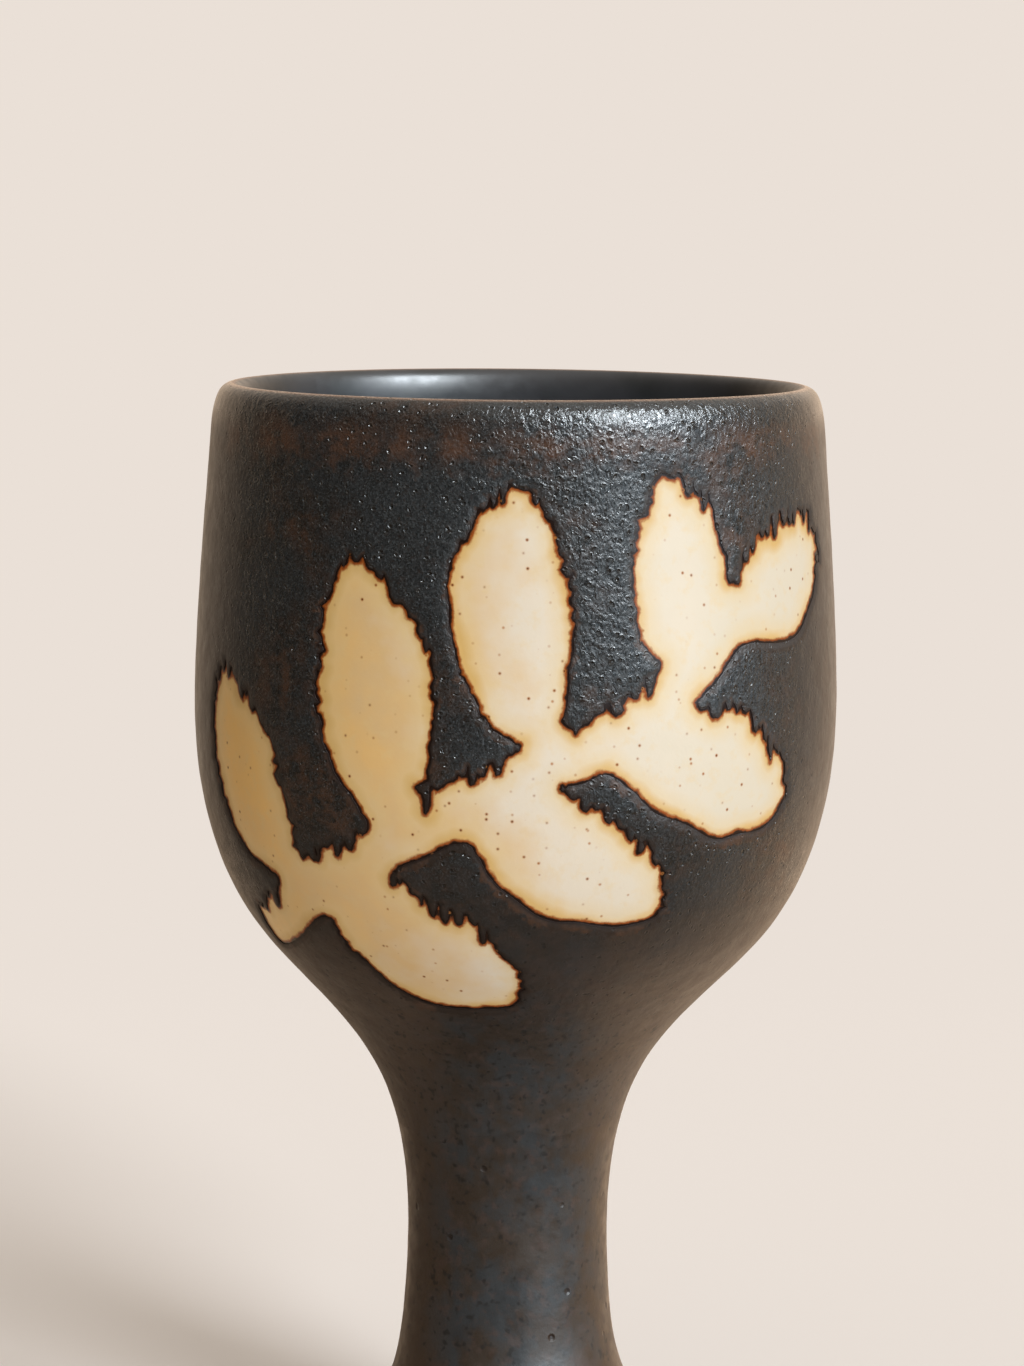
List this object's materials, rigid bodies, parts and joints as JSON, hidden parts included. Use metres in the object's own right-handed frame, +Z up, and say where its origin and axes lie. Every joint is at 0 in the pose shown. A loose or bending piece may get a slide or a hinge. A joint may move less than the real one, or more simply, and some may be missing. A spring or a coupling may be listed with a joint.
{
  "type": "stemmed cup",
  "caption": "Hand-thrown stoneware stemmed cup without handles: dark wax-resist glaze over cream, hollow stem and flared foot.",
  "frame": {"origin": "middle of the foot's underside, on the surface that the cup stands on", "axes": "+Z up along the axis that the cup was thrown on, -Y out of the middle of the decorated side"},
  "size_m": [0.085, 0.085, 0.148],
  "materials": {
    "stoneware": "bare fired, fine tooth",
    "stoneware_slip": "bare fired, smooth",
    "cream_glaze": "satin, iron specks",
    "dark_glaze": "satin, pitted",
    "liner_glaze": "gloss"
  },
  "bodies": {
    "root": {"bowl_body": "stoneware", "stem_and_foot": "stoneware", "joint_slip": "stoneware_slip", "joint_coil": "stoneware_slip", "cream_glaze": "cream_glaze", "dark_glaze_bowl": "dark_glaze", "dark_glaze_stem": "dark_glaze", "liner_glaze": "liner_glaze"}
  },
  "joints": []
}
